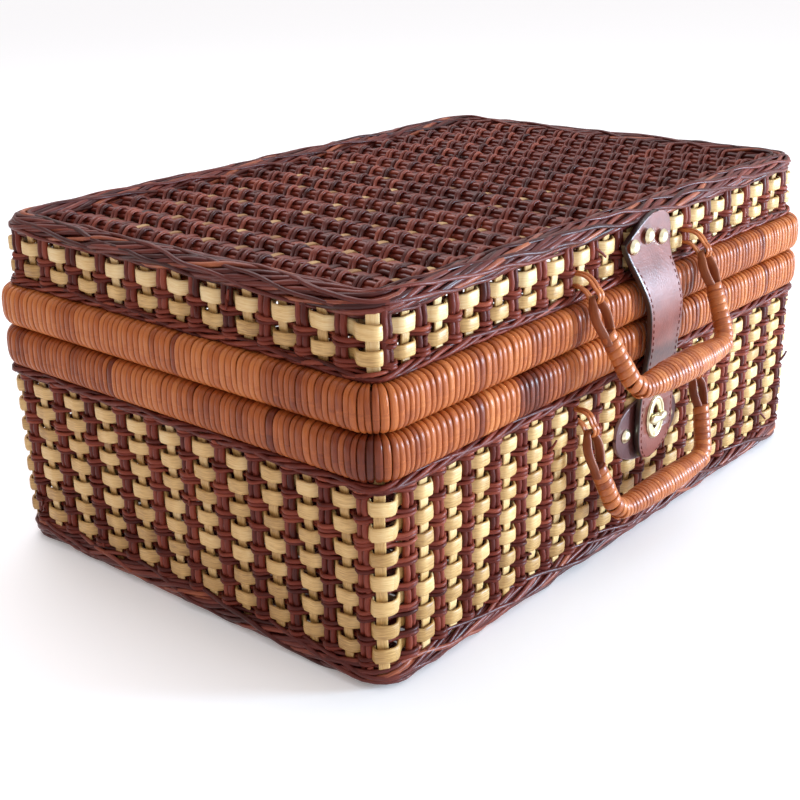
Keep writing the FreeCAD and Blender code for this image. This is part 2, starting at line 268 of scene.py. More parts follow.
class Wall:
    """The woven wall of the base or the lid: stakes, pale strips and dark reeds."""

    def __init__(self, half_x, half_y, corner, front, sides):
        self.track = Track(half_x, half_y, corner)
        spot = self.track.spot
        dark = [spot("front", x) for x in front]
        dark += [spot("right", y) for y in sides]
        dark += [spot("back", x) for x in front[::-1]]
        dark += [spot("left", y) for y in sides[::-1]]
        self.dark = np.array(dark)
        pale = (self.dark + np.roll(self.dark, -1)) / 2
        pale[-1] = (self.dark[-1] + self.dark[0] + self.track.length) / 2
        for corner_spot in self.track.corners():
            pale[np.argmin(np.abs(pale - corner_spot))] = corner_spot
        self.pale = pale
        both = np.sort(np.concatenate([self.dark, self.pale]))
        self.marks = np.concatenate([both - self.track.length, both, both + self.track.length])
        self.steps = np.arange(len(self.marks)) - len(both)

    def away(self, s, pale):
        """0 at the stakes of one kind, 1 at those of the other kind."""
        phase = np.interp(s, self.marks, self.steps) - (1 if pale else 0)
        return np.abs(np.mod(phase + 1, 2) - 1)

    def pale_row(self, strands, z):
        """A flat strip over the pale stakes and behind the dark ones."""
        length = self.track.length
        s = np.linspace(0, length, round(length / ROW_STEP), endpoint=False)
        behind = ease(self.away(s, True), 0.26, 0.76)
        reach = BULGE - behind * (BULGE + (STAKE_ROD + FLAT_THICK) / 2)
        height = z + wander(s, length, 0.45, 110) + wander(s, length, 0.3, 27)
        wide = rng.uniform(7.0, 8.3) * (1 + wander(s, length, 0.05, 45))
        points = self.track.points(s, reach, height)
        strands.add(points, self.track.out(s), wide, FLAT_THICK + 0.3, STRIP, closed=True)

    def dark_row(self, strands, z):
        """A round reed over the dark stakes and behind the pale ones."""
        length = self.track.length
        s = np.linspace(0, length, round(length / ROW_STEP), endpoint=False)
        turn = np.cos(np.pi * np.clip(self.away(s, False) / 0.72, 0, 1))
        rise, dip = (STAKE_ROD + REED_ROD) / 2 + 0.1, (FLAT_THICK + REED_ROD) / 2 + SUNK
        reach = 0.5 * (rise - dip) + 0.5 * (rise + dip) * np.sign(turn) * np.abs(turn) ** 0.8
        height = z + wander(s, length, 0.5, 100) + wander(s, length, 0.4, 24)
        size = REED_ROD * rng.uniform(0.86, 1.12)
        points = self.track.points(s, reach, height)
        strands.add(points, self.track.out(s), size, size, REED, closed=True)

    def stakes(self, strands, places, z, offsets, width, thick, section, wave):
        """Upright strands at these places, pushed in and out by the rows that cross them."""
        for place in places:
            lean = rng.uniform(-0.9, 0.9)
            for offset in offsets:
                sway = wander(z, 400, 0.35, 60) + lean * (z - z[0]) / (z[-1] - z[0])
                s = place + offset + sway + rng.uniform(-0.25, 0.25)
                reach = wave + rng.uniform(-0.3, 0.3)
                points = self.track.points(s, reach, z)
                strands.add(points, self.track.out(s), width * rng.uniform(0.9, 1.08), thick, section)

    def stray_ends(self, strands, count, z_low, z_high):
        """Short reed ends that stick out of the weave beside dark stakes."""
        for _ in range(count):
            s = rng.choice(self.dark) + rng.uniform(3, 6) * np.linspace(0, 1, 7)
            z = rng.uniform(z_low, z_high) + rng.uniform(-7, 9) * np.linspace(0, 1, 7) ** 1.5
            reach = 1.0 + rng.uniform(2.0, 4.5) * np.linspace(0, 1, 7)
            size = np.linspace(1.9, 1.1, 7)
            strands.add(self.track.points(s, reach, z), self.track.out(s), size, size, REED)


def build_wall(prefix, body, inset, front, sides, z_low, z_high, pale_rows, dark_rows, strays):
    """All strands of one wall, as four pieces that stand for the wall's four CAD panels."""
    rim_high = box(prefix + "_rim_wrap")[1]
    wall = Wall(rim_high[0] - inset, rim_high[1] - inset, 8.5, front, sides)
    pitch = pale_rows[1] - pale_rows[0]
    z = np.linspace(z_low, z_high, round((z_high - z_low) / 2.8))
    wave = np.cos(2 * np.pi * (z - pale_rows[0]) / pitch)
    dark = Strands(prefix + "_dark_stakes")
    rods = (-0.53 * STAKE_ROD, 0.53 * STAKE_ROD)
    wall.stakes(dark, wall.dark, z, rods, STAKE_ROD, STAKE_ROD, ROD, 0.4 * wave)
    pale = Strands(prefix + "_pale_stakes")
    wall.stakes(pale, wall.pale, z, (0.0,), 6.2, FLAT_THICK, STRIP, -SUNK - 0.5 * wave)
    strips = Strands(prefix + "_pale_strips")
    for row in pale_rows:
        wall.pale_row(strips, row)
    reeds = Strands(prefix + "_dark_weavers")
    for row, count in dark_rows:
        for k in range(count):
            lift = (k - (count - 1) / 2) * REED_ROD * 0.98
            wall.dark_row(reeds, row + lift)
    wall.stray_ends(reeds, strays, z_low + 12, z_high - 10)
    panels = [prefix + "_wall_" + side for side in ("front", "back", "left", "right")]
    dark.build(REED_DARK, body, panels)
    pale.build(CANE_PALE, body, panels)
    strips.build(CANE_PALE, body, panels)
    reeds.build(REED_DARK, body, panels)


# ---------------------------------------------------------------- borders and twisted bands


def twist(strands, track, z_mid, half_out, half_up, count, pitch, reed, rough, floor=None, step=4.5):
    """A rope of reeds that wind together round the track. A negative pitch winds the other way."""
    length = track.length
    turns = round(length / pitch)
    s = np.linspace(0, length, round(length / step), endpoint=False)
    swell = 1 + wander(s, length, 0.7 * rough, 46)
    for k in range(count):
        phase = 2 * np.pi * (k + rng.uniform(-0.3, 0.3)) / count
        angle = phase + 2 * np.pi * turns * s / length + wander(s, length, 0.16, 80)
        radius = swell * (1 + wander(s, length, rough, 55)) * rng.uniform(0.93, 1.05)
        size = reed * rng.uniform(0.8, 1.15)
        reach = half_out * radius * np.cos(angle)
        z = z_mid + half_up * radius * np.sin(angle)
        if floor is not None:
            z = np.maximum(z, floor + size / 2)
        out = track.out(s) * np.cos(angle)[:, None]
        out[:, 2] = np.sin(angle)
        strands.add(track.points(s, reach, z), out, size * 1.1, size * 0.95, REED, closed=True)


def build_borders():
    low, high = box("base_foot_border")
    mid = (high[2] + low[2]) / 2
    middle = 7.0
    track = Track(high[0] - middle, high[1] - middle, 13)
    foot = Strands("foot_border_rope")
    twist(foot, track, mid, 3.6, 3.6, 6, 150, 3.0, 0.05, floor=0.1)
    twist(foot, track, mid, 5.6, 5.3, 11, 150, 2.5, 0.07, floor=0.1)
    twist(foot, track, mid, 6.5, 6.1, 5, -230, 2.1, 0.07, floor=0.1)
    foot.build(REED_BORDER, "base", ["base_foot_border"])

    low, high = box("lid_top_border")
    mid = (high[2] + low[2]) / 2
    middle = 8.5
    track = Track(high[0] - middle, high[1] - middle, 12)
    edge = Strands("lid_border_rope")
    twist(edge, track, mid, 4.6, 3.4, 7, 210, 3.0, 0.05)
    twist(edge, track, mid, 7.2, 5.2, 13, 210, 2.6, 0.06)
    twist(edge, track, mid, 8.2, 6.0, 6, -330, 2.2, 0.06)
    edge.build(REED_BORDER, "lid", ["lid_top_border"])

    for prefix, body in (("base", "base"), ("lid", "lid")):
        low, high = box(prefix + "_waling")
        mid = (high[2] + low[2]) / 2
        track = Track(high[0] - 1.6, high[1] - 1.6, 10)
        band = Strands(prefix + "_waling_twist")
        twist(band, track, mid, 1.7, 1.8, 3, 48, 2.3, 0.06, step=3.0)
        twist(band, track, mid, 1.6, 2.2, 2, -150, 2.0, 0.08, step=3.6)
        band.build(REED_DARK, body, [prefix + "_waling"])


# ---------------------------------------------------------------- top and floor panels


def build_panel(name, body, node, columns, first_row, row_count, pitch, z, pale_end):
    """A woven panel. Flat reeds run in rows under the rod bundles and over the flats between
    them, and pairs of thin reeds arch over each bundle. Every second row has pale stretches,
    fewer and fewer from the left up to pale_end."""
    low, high = box(node)
    reach = 8.0
    x_low, x_high = low[0] - reach, high[0] + reach
    y = np.linspace(low[1] - reach, high[1] + reach, 80)
    up = np.array([0.0, 0.0, 1.0])
    spacing = columns[1] - columns[0]
    wave = np.cos(2 * np.pi * (y - first_row) / pitch)

    rods = Strands(name + "_rods")
    flats = np.append(columns - spacing / 2, columns[-1] + spacing / 2)
    for column in columns:
        lean = rng.uniform(-1.2, 1.2)
        for offset, lift in ((-1.7, -0.9), (1.7, -0.9), (0.0, 1.3)):
            x = column + offset + wander(y, 600, 0.3, 90) + lean * y / high[1]
            height = z + 0.6 + lift + 0.3 * wave + rng.uniform(-0.15, 0.15)
            rods.add(np.stack([x, y, height], -1), up, 3.2 * rng.uniform(0.9, 1.08), 3.1, REED)
    for flat in flats:
        x = flat + wander(y, 600, 0.5, 90)
        rods.add(np.stack([x, y, z - 0.5 * wave], -1), up, 6.4, FLAT_THICK, PEEL)
    rods.build(REED_TOP, body, [node])

    x = np.linspace(x_low, x_high, round((x_high - x_low) / 2.1))
    marks = np.concatenate([[columns[0] - spacing], columns, [columns[-1] + spacing]])
    away = 2 * np.abs(np.mod(np.interp(x, marks, np.arange(len(marks))) + 0.5, 1) - 0.5)
    reeds = Strands(name + "_reeds")
    strips = Strands(name + "_pale_strips")
    cell = np.clip(np.interp(x, marks, np.arange(len(marks))).astype(int), 0, len(marks) - 2)
    chance = np.clip((pale_end - marks[:-1]) / (pale_end - marks[0]), 0, 1) ** 0.7
    for k in range(row_count):
        row = first_row + pitch * k
        over = ease(away, 0.34, 0.66)
        height = z - 3.2 + over * 3.5 + wander(x, 900, 0.3, 40)
        line = np.stack([x, row + wander(x, 900, 0.6, 70), height], -1)
        width = 5.0 * rng.uniform(0.85, 1.1)
        light = (rng.random(len(chance)) < chance * (k % 2 == 0))[cell]
        for part in np.split(np.arange(len(x)), np.flatnonzero(np.diff(light)) + 1):
            target = strips if light[part[0]] else reeds
            target.add(line[part], up, width, FLAT_THICK, PEEL)
    for k in range(row_count + 1):
        row = first_row + pitch * (k - 0.5)
        arch = np.sqrt(np.clip(1 - (away / 0.44) ** 2, 0, 1))
        for twin in (-1.45, 1.45):
            height = z - 1.9 + arch * rng.uniform(6.1, 6.8) + wander(x, 900, 0.25, 40)
            side = row + twin + wander(x, 900, 0.7, 40)
            width = 2.5 * rng.uniform(0.85, 1.1)
            reeds.add(np.stack([x, side, height], -1), up, width, 1.7, REED)
    reeds.build(REED_TOP, body, [node])
    strips.build(CANE_BROWNER, body, [node])


# ---------------------------------------------------------------- wrapped rims

RIM_DEPTH = 19.0
RIM_SQUARE = 0.66
RIM_CANE = 2.1
RIM_CORNER = 20
HOOP_INSETS = (5.6, 13.4)


def build_rim(prefix, body, tones, dark_spots):
    """Hoops inside, and one turn of cane after another round them."""
    low, high = box(prefix + "_rim_wrap")
    height = high[2] - low[2]
    mid = (high[2] + low[2]) / 2
    track = Track(high[0], high[1], RIM_CORNER)
    length = track.length
    hoops = Strands(prefix + "_rim_hoops")
    for inset in HOOP_INSETS:
        inner = Track(high[0] - inset, high[1] - inset, RIM_CORNER - inset)
        s = np.linspace(0, inner.length, 320, endpoint=False)
        hoops.add(inner.points(s, 0, mid), inner.out(s), height - 6, 6.0, oval(10, 0.8), closed=True)
    # The hoops carry painted shade: their dark colour stands for the shadow in the gaps between turns of
    # cane.
    hoops.build(RATTAN_PAINTED_SHADE, body, [prefix + "_rim_outer_hoop", prefix + "_rim_inner_hoop"])

    wrap = Strands(prefix + "_rim_cane")
    gaps = rng.uniform(3.5, 5.1, round(length / 4.3))
    gaps *= length / gaps.sum()
    places = np.cumsum(gaps) - gaps / 2
    turn = np.linspace(0, 2 * np.pi, 30, endpoint=False)
    c, t = np.cos(turn), np.sin(turn)
    out = (RIM_DEPTH - RIM_CANE) / 2 * np.sign(c) * np.abs(c) ** RIM_SQUARE - RIM_DEPTH / 2
    lift = (height - RIM_CANE) / 2 * np.sign(t) * np.abs(t) ** RIM_SQUARE
    turns_left, strip_tone = 0, 0.5
    for place, gap in zip(places, gaps):
        if turns_left == 0:
            turns_left = rng.integers(9, 26)
            strip_tone = rng.uniform(*tones)
        turns_left -= 1
        x, y, nx, ny = (float(v) for v in track.at(place))
        ahead, behind = track.at(place + 3), track.at(place - 3)
        bend = math.hypot(ahead[2] - behind[2], ahead[3] - behind[3]) / 6
        slant = rng.uniform(-0.05, 0.02) * lift + rng.uniform(-0.2, 0.2)
        reach = out * (1 + rng.uniform(-0.3, 0.2) / RIM_DEPTH)
        points = np.stack([x + nx * reach - ny * slant, y + ny * reach + nx * slant, mid + lift], -1)
        outward = np.stack([nx * c, ny * c, t], -1)
        width = gap * 0.88 * np.clip(1 + bend * out, 0.12, 1)
        tone = strip_tone + rng.uniform(-0.12, 0.12) - (0.2 if turns_left == 0 else 0)
        for spot, fade_back, fade_on, depth in dark_spots:
            gone = (place - track.spot(*spot) + length / 2) % length - length / 2
            tone += depth * math.exp(-((gone / (fade_back if gone < 0 else fade_on)) ** 2))
        wrap.add(points, outward, width, RIM_CANE, oval(8, 0.8), closed=True, tone=tone)
    wrap.build(CANE_TAN, body, [prefix + "_rim_wrap"])


# ---------------------------------------------------------------- handles

EYE_SPREAD = 61.0
EYE_LENGTH = 24.0
ARM_FLARE = 5.0
BEND = 15.0
HANDLE_CANE = 1.5


def smooth_path(points, rounds=3):
    """Cuts the corners of an open path, and keeps its ends."""
    p = np.asarray(points, float)
    for _ in range(rounds):
        near = 0.75 * p[:-1] + 0.25 * p[1:]
        far = 0.25 * p[:-1] + 0.75 * p[1:]
        p = np.concatenate([p[:1], np.stack([near, far], 1).reshape(-1, 3), p[-1:]])
    return p


def spaced(points, step):
    """The same path as points a step apart, and their distances along it."""
    marks = np.concatenate([[0], np.cumsum(np.linalg.norm(np.diff(points, axis=0), axis=1))])
    s = np.linspace(0, marks[-1], max(4, round(marks[-1] / step)))
    return np.stack([np.interp(s, marks, points[:, k]) for k in range(3)], 1), s


def wind(strands, path, side, radius, pitch, width):
    """One flat strand wound round a path that stays square to side."""
    fine, s = spaced(path, pitch / 20)
    ahead = unit(np.gradient(fine, axis=0))
    b = unit(np.broadcast_to(side, fine.shape))
    a = np.cross(b, ahead)
    angle = 2 * np.pi * s / pitch + wander(s, s[-1], 0.5, 40)
    outward = np.cos(angle)[:, None] * a + np.sin(angle)[:, None] * b
    reach = np.broadcast_to(radius, s.shape) if np.isscalar(radius) else np.interp(s, *radius)
    points = fine + (reach + wander(s, s[-1], 0.12, 15))[:, None] * outward
    strands.add(points, outward, width, HANDLE_CANE, oval(8, 0.66))


def build_handle(name, tilt, swell):
    joint = next(j for j in frame["joints"] if j["name"] == name + "_swing")
    axis = np.array(joint["pos_m"]) / MM
    lean = math.radians(tilt)
    low, _ = box(name + "_core")
    drop = (axis[2] - low[2] - 3.4) / math.cos(lean)

    def hang(points):
        p = np.asarray(points, float)
        x, depth, z = p[..., 0], p[..., 1], p[..., 2]
        turned_y = depth * math.cos(lean) + z * math.sin(lean)
        turned_z = z * math.cos(lean) - depth * math.sin(lean)
        return np.stack([x + axis[0], turned_y + axis[1], turned_z + axis[2]], -1)

    side = hang([0, 1, 0]) - hang([0, 0, 0])
    flare = EYE_SPREAD - ARM_FLARE
    core = Strands(name + "_rattan_core")
    for label, sign in (("left", -1), ("right", 1)):
        arm = [(EYE_SPREAD, 0, 3.0 - EYE_LENGTH), (flare + 2, 0, -0.6 * drop), (flare, 0, BEND - drop)]
        arm += [(flare - 3, 0, 4.0 - drop), (flare - BEND, 0, -drop)]
        path = smooth_path([hang((sign * x, y, z)) for x, y, z in arm])
        length = spaced(path, 1)[1][-1]
        wrap = Strands(name + "_arm_cane_" + label)
        grow = ([0, 0.15 * length, length], [3.9, 4.5, 5.3])
        wind(wrap, path, side, grow, 4.3, 4.7)
        wrap.build(CANE_HANDLE, name, [name + "_arm_wrap_" + label])
        inner, _ = spaced(path[2:], 4)
        core.add(inner, side, 7.4, 7.4, ROD)

        eye = Strands(name + "_eye_peel_" + label)
        turn = np.linspace(0, np.pi, 12)
        leg = [(-2.4, 0, -EYE_LENGTH - 5), (-3.0, 0, -EYE_LENGTH), (-5.4, 0, -0.68 * EYE_LENGTH)]
        leg += [(-5.9, 0, -0.42 * EYE_LENGTH)]
        bow = [(-3.9 * math.cos(t), 0, 3.9 * math.sin(t) - 4.9) for t in turn]
        loop = np.array(leg + bow + [(-x, 0, z) for x, _, z in reversed(leg)])
        loop, _ = spaced(smooth_path(loop, 2), 1.0)
        radial = loop - np.array([0, 0, -0.4 * EYE_LENGTH])
        radial[:, 2] *= ease(loop[:, 2], -9.0, -4.0)
        at_bow = ease(loop[:, 2], -8.0, -2.0)
        loop[:, 0] += sign * EYE_SPREAD
        outward = hang(loop + radial) - hang(loop)
        eye.add(hang(loop), outward, 6.0 - 1.6 * at_bow, 2.3, oval(10, 0.7))
        eye.build(PEEL_RED, name, [name + "_eye_" + label])

    grip = Strands(name + "_grip_cane")
    end = flare - 0.7 * BEND
    run = smooth_path([hang(p) for p in ((-end - 4, 0, 1.4 - drop), (-end + 4, 0, -drop),
                                         (end - 4, 0, -drop), (end + 4, 0, 1.4 - drop))])
    total = spaced(run, 1)[1][-1]
    part = np.linspace(0, 1, 21)
    girth = (part * total, 5.3 + swell * np.sin(np.pi * part) ** 1.2)
    wind(grip, run, side, girth, 3.2, 3.4)
    grip.build(CANE_HANDLE, name, [name + "_grip_wrap"])
    inside, marks = spaced(run, 4)
    thick = 2 * np.interp(marks, *girth) - 2.2
    core.add(inside, side, thick, thick, ROD)
    # The core carries painted shade: its dark colour stands for the shadow in the gaps between turns of the
    # wrap.
    core.build(RATTAN_PAINTED_SHADE, name, [name + "_core"])
    return axis


LOOP_RADIUS = 4.3
LOOP_RISE = 7.0


def build_loops(prefix, axis, body):
    """The flat cane that curls out of the weave and carries each eye."""
    face = box(prefix + "_wall_front")[0][1]
    reach = np.array([0, face + 2.0 - axis[1], LOOP_RISE])
    length = np.linalg.norm(reach)
    along = reach / length
    normal = np.array([0, -along[2], along[1]])
    turn = np.linspace(0, np.pi, 15)
    near = [(-LOOP_RADIUS * math.sin(t), LOOP_RADIUS * math.cos(t)) for t in turn]
    far = [(length + LOOP_RADIUS * math.sin(t), -LOOP_RADIUS * math.cos(t)) for t in turn]
    ring = np.array([p * along + q * normal for p, q in near + far])
    ring = spaced(np.concatenate([ring, ring[:1]]), 1.2)[0][:-1]
    out = unit(ring - 0.5 * reach)
    part = np.clip(ring @ along / length, 0, 1)
    ring += 3.0 * np.sin(np.pi * part)[:, None] * normal
    ring[:, 0] += 1.1 * np.sin(2 * np.pi * np.arange(len(ring)) / len(ring))
    for label, sign in (("left", -1), ("right", 1)):
        place = np.array([axis[0] + sign * EYE_SPREAD, axis[1], axis[2]])
        strand = Strands(prefix + "_handle_cane_loop_" + label)
        for shift, grow in ((-1.2, 0.0), (1.2, 0.6)):
            turn_of_cane = ring + place + grow * out + [shift, 0, 0]
            strand.add(turn_of_cane, out, 2.5, 1.5, oval(8, 0.7), closed=True, tone=0.6)
        strand.build(CANE_HANDLE, body, [prefix + "_handle_loop_" + label])


# ---------------------------------------------------------------- strap, patch and brass

FOLD_Z = 184.0
STRAP_THICK = 3.7


def middle(node):
    low, high = box(node)
    return (low + high) / 2


def strap_path():
    """Side view of the strap's back face, top to tip, as y and z."""
    front = box("base_rim_wrap")[0][1]
    tab_back = box("lid_wall_front")[0][1] - 2.0
    top, tip = box("strap_tab")[1][2], box("strap_tongue")[0][2]
    points = [(tab_back, top), (tab_back, 192.0), (tab_back, 188.0)]
    points += [(tab_back - 1.6, FOLD_Z), (front - 1.6, 167.3)]
    points += [(front - 4.2, 154.3), (front - 4.2, 141.0), (front - 2.0, 122.0)]
    points += [(front - 0.4, 103.7), (front + 1.0, 89.7), (front + 1.0, tip)]
    return points


def build_strap():
    """One piece of leather, bent to shape from the tab to the tip, with the slot for the turn-lock."""
    raw = np.array([(0, y, z) for y, z in strap_path()])
    path, _ = spaced(smooth_path(raw, 3), 1.0)
    z = path[:, 2]
    low_x, tab_x = middle("strap_eyelet_plate")[0], middle("strap_tab")[0]
    # Height, half width, and how far the middle leans to the right.
    plan = np.array([(52, 18.6, 0), (70, 19.6, 0), (88, 19.4, 0), (106, 17.8, 0), (125, 16.6, 0),
                     (145, 18.2, -2), (162, 19.6, -3), (174, 20.8, -2.5), (184, 23.8, 0), (190, 25.5, 1.5),
                     (194, 22.0, 4.5), (200, 15.5, 8.5), (206, 10.0, 11)])
    half, askew = np.interp(z, plan[:, 0], plan[:, 1]), np.interp(z, plan[:, 0], plan[:, 2])
    tip = np.clip((70 - z) / (70 - z.min()), 0, 1)
    top = np.clip((z - 198) / (z.max() - 198), 0, 1)
    half *= np.sqrt(np.clip(1 - tip**2.2, 0.002, 1)) * np.sqrt(np.clip(1 - top**2.4, 0.002, 1))
    low_x, tab_x = low_x + 2.0, tab_x - 1.5
    across = tab_x + (low_x - tab_x) * ease(z, FOLD_Z + 4, 145.0) - 6.0 * tip**2 + askew
    ahead = unit(np.gradient(path, axis=0))
    forward = np.cross(ahead, [1.0, 0, 0])
    forward = forward * -np.sign(forward[:, 1:2])
    strap = Strands("strap_leather")
    face = path + forward * STRAP_THICK / 2
    section = slab(0.7)
    strap.add(face, forward, 2 * half, STRAP_THICK, section, tone=0.5)
    strap.verts[0][:, 0] += np.concatenate([np.repeat(across, len(section[0])), across[[0, -1]]])
    path[:, 0] = across
    piece = strap.build(LEATHER, None, ["strap_tab", "strap_tongue"])
    cutter = Strands("slot_cutter")
    lock = middle("strap_eyelet_plate")
    ends = np.array([lock - [0, 20, 0], lock + [0, 20, 0]])
    cutter.add(ends, [0, 0, 1.0], 6.4, 18.0, oval(24, 0.9))
    tool = bpy.data.objects.new("slot_cutter", cutter.mesh())
    bpy.context.scene.collection.objects.link(tool)
    cut = piece.modifiers.new("slot", "BOOLEAN")
    cut.operation, cut.solver, cut.object = "DIFFERENCE", "EXACT", tool
    graph = bpy.context.evaluated_depsgraph_get()
    done = bpy.data.meshes.new_from_object(piece.evaluated_get(graph))
    piece.modifiers.clear()
    piece.data = done
    bpy.data.objects.remove(tool)
    fold_y = strap_path()[3][0]
    start, end = (0, fold_y * MM, (FOLD_Z + 4) * MM), (0, fold_y * MM, (FOLD_Z - 5) * MM)
    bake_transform(piece)
    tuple(start)
    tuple(end)
    return path, half, forward


def build_stitches(path, half, forward):
    """Thread along the strap's edges, a little in from them."""
    thread = Strands("strap_stitching")
    inset, stitch, pitch = 2.6, 2.4, 4.2
    face = path + forward * (STRAP_THICK + 0.05)
    keep = (path[:, 2] < FOLD_Z - 8) & (half > inset + 1)
    for sign in (-1, 1):
        edge = face[keep]
        edge[:, 0] += sign * (half[keep] - inset)
        line, s = spaced(edge, 0.4)
        for start in np.arange(0.5, s[-1] - stitch, pitch):
            inside = (s >= start) & (s <= start + stitch)
            thread.add(line[inside], [0, -1.0, 0], 0.8, 0.5, REED, tone=0.5)
    thread.build(THREAD, "strap")


def turned(strands, centre, axis, outline, count=24):
    """A round piece: outline is (distance along the axis, radius) from back to front."""
    axis = unit(np.asarray(axis, float))
    side = np.array([1.0, 0, 0]) if abs(axis[0]) < 0.5 else np.array([0, 0, 1.0])
    points = np.array([np.asarray(centre) + d * axis for d, r in outline])
    size = np.array([2 * r for d, r in outline])
    strands.add(points, side, size, size, oval(count), tone=0.5)


def dome(strands, centre, radius):
    """A domed rivet head that faces -Y."""
    shape = ((-0.5, 0.3), (-0.02, 0.32), (0.0, 0.93), (0.06, 1.0), (0.13, 1.0), (0.18, 0.93), (0.36, 0.80),
             (0.50, 0.60), (0.58, 0.36), (0.61, 0.08))
    turned(strands, centre, (0, -1, 0), [(d * radius, r * radius) for d, r in shape], 28)


def oval_ring(strands, centre, half_x, half_z, band, thick):
    """A flat oval washer that faces -Y."""
    turn = np.linspace(0, 2 * np.pi, 60, endpoint=False)
    c, s = np.cos(turn), np.sin(turn)
    x, z = (half_x - band / 2) * c, (half_z - band / 2) * s
    points = np.stack([centre[0] + x, np.full(60, centre[1]), centre[2] + z], -1)
    outward = unit(np.stack([c / half_x, 0 * c, s / half_z], -1))
    strands.add(points, outward, thick, band, oval(12, 0.75), closed=True, tone=0.5)


def build_brass():
    """Rivets, the patch and its studs, the plate round the slot, and the toggle."""
    low, high = box("strap_rivets")
    radius = 0.5 * (high[2] - low[2] - 3.5)
    front = box("strap_tab")[0][1] - 1.3
    tab = Strands("strap_tab_rivets")
    tab_x = middle("strap_tab")[0] - 3.5
    for step, lift in ((-1, 0.0), (0, 3.5), (1, 0.0)):
        dome(tab, (tab_x + 16 * step, front + 1.0, low[2] + radius - 1.2 + lift), radius * 1.06)
    tab.build(BRASS, "lid", ["strap_rivets"])

    low, high = box("clasp_patch")
    mid = (low + high) / 2
    patch = Strands("clasp_patch_leather")
    x = -np.cos(np.linspace(0.03, np.pi - 0.03, 60))
    wide = (high[2] - low[2]) * np.sqrt(1 - x**2) ** 0.85
    points = np.stack([mid[0] + x * (high[0] - low[0]) / 2, np.full(60, mid[1]), np.full(60, mid[2])], -1)
    patch.add(points, [0, -1.0, 0], wide, high[1] - low[1], slab(0.8), tone=0.2)
    patch.build(LEATHER_DARK, "base", ["clasp_patch"])
    studs = Strands("clasp_patch_studs")
    stud_low, stud_high = box("clasp_patch_rivets")
    radius = (stud_high[2] - stud_low[2]) / 2
    for x in (stud_low[0] + radius, stud_high[0] - radius):
        dome(studs, (x, low[1], mid[2]), radius)
    studs.build(BRASS, "base", ["clasp_patch_rivets"])

    low, high = box("strap_eyelet_plate")
    mid = (low + high) / 2
    plate = Strands("strap_eyelet_brass")
    front = low[1] - 0.3
    half_x, half_z = (high[0] - low[0]) / 2 + 0.6, (high[2] - low[2]) / 2
    oval_ring(plate, (mid[0], front, mid[2]), half_x, half_z, 6.2, 1.6)
    oval_ring(plate, (mid[0], front - 0.6, mid[2]), half_x - 0.4, half_z - 0.4, 1.9, 1.5)
    plate.build(BRASS, "strap", ["strap_eyelet_plate"])

    low, high = box("turnlock_toggle")
    wing = Strands("turnlock_butterfly")
    x = np.linspace(-1, 1, 41)
    round_end = np.sqrt(np.clip(1 - np.abs(x) ** 5, 0.004, 1))
    lobe = np.sin(np.pi * np.clip(np.abs(x) * 0.78 + 0.06, 0, 1)) ** 1.5
    tall = (3.0 + 3.4 * lobe) * round_end
    deep = (4.6 - 1.4 * np.abs(x)) * round_end
    front = low[1] + 2.3
    half = (high[0] - low[0]) / 2 + 0.4
    points = np.stack([mid[0] + half * x, np.full(41, front), np.full(41, mid[2])], -1)
    wing.add(points, [0, -1.0, 0], tall, deep, oval(14, 0.85), tone=0.5)
    shaft = ((-2.2, 2.6), (2.0, 2.5), (2.1, 1.5), (7.6, 1.5))
    turned(wing, (mid[0], front + 2.2, mid[2]), (0, 1, 0), shaft)
    wing.build(BRASS, "turnlock", ["turnlock_toggle"])


# ---------------------------------------------------------------- materials


class Nodes:
    """A small helper that adds nodes and links to one material."""

    def __init__(self, name):
        self.material = bpy.data.materials.new(name)
        self.material.use_nodes = True
        self.tree = self.material.node_tree
        self.shader = self.tree.nodes["Principled BSDF"]

    def add(self, kind, inputs=(), **settings):
        node = self.tree.nodes.new("ShaderNode" + kind)
        for key, value in settings.items():
            setattr(node, key, value)
        for key, value in dict(inputs).items():
            self.put(node.inputs[key], value)
        return node

    def put(self, socket, value):
        if isinstance(value, bpy.types.NodeSocket):
            self.tree.links.new(value, socket)
        else:
            socket.default_value = value

    def math(self, operation, a, b):
        return self.add("Math", {0: a, 1: b}, operation=operation).outputs[0]

    def attribute(self, name):
        return self.add("Attribute", attribute_name=name).outputs["Fac"]

    def noise(self, vector, scale, detail=3.0, rough=0.55):
        node = self.add("TexNoise", {"Vector": vector, "Scale": scale, "Detail": detail, "Roughness": rough})
        return node.outputs["Fac"]

    def ramp(self, factor, stops):
        node = self.add("ValToRGB", {"Fac": factor})
        ramp = node.color_ramp
        while len(ramp.elements) < len(stops):
            ramp.elements.new(0.5)
        for element, (place, colour) in zip(ramp.elements, stops):
            element.position = place
            element.color = (*colour, 1.0)
        return node.outputs["Color"]

    def vary(self, factor, low, high, start=0.0, end=1.0):
        node = self.add("MapRange", {"Value": factor, "From Min": start, "From Max": end,
                                     "To Min": low, "To Max": high})
        return node.outputs["Result"]

    def mix(self, factor, a, b):
        node = self.add("Mix", {"Factor": factor}, data_type="RGBA")
        self.put(node.inputs[6], a)
        self.put(node.inputs[7], b)
        return node.outputs[2]

    def finish(self, colour, rough, height, depth, sheen=0.5, metallic=0.0):
        self.put(self.shader.inputs["Base Color"], colour)
        self.put(self.shader.inputs["Roughness"], rough)
        bump = self.add("Bump", {"Height": height, "Distance": depth, "Strength": 1.0})
        self.put(self.shader.inputs["Normal"], bump.outputs["Normal"])
        self.shader.inputs["Specular IOR Level"].default_value = sheen
        self.shader.inputs["Metallic"].default_value = metallic
        return self.material


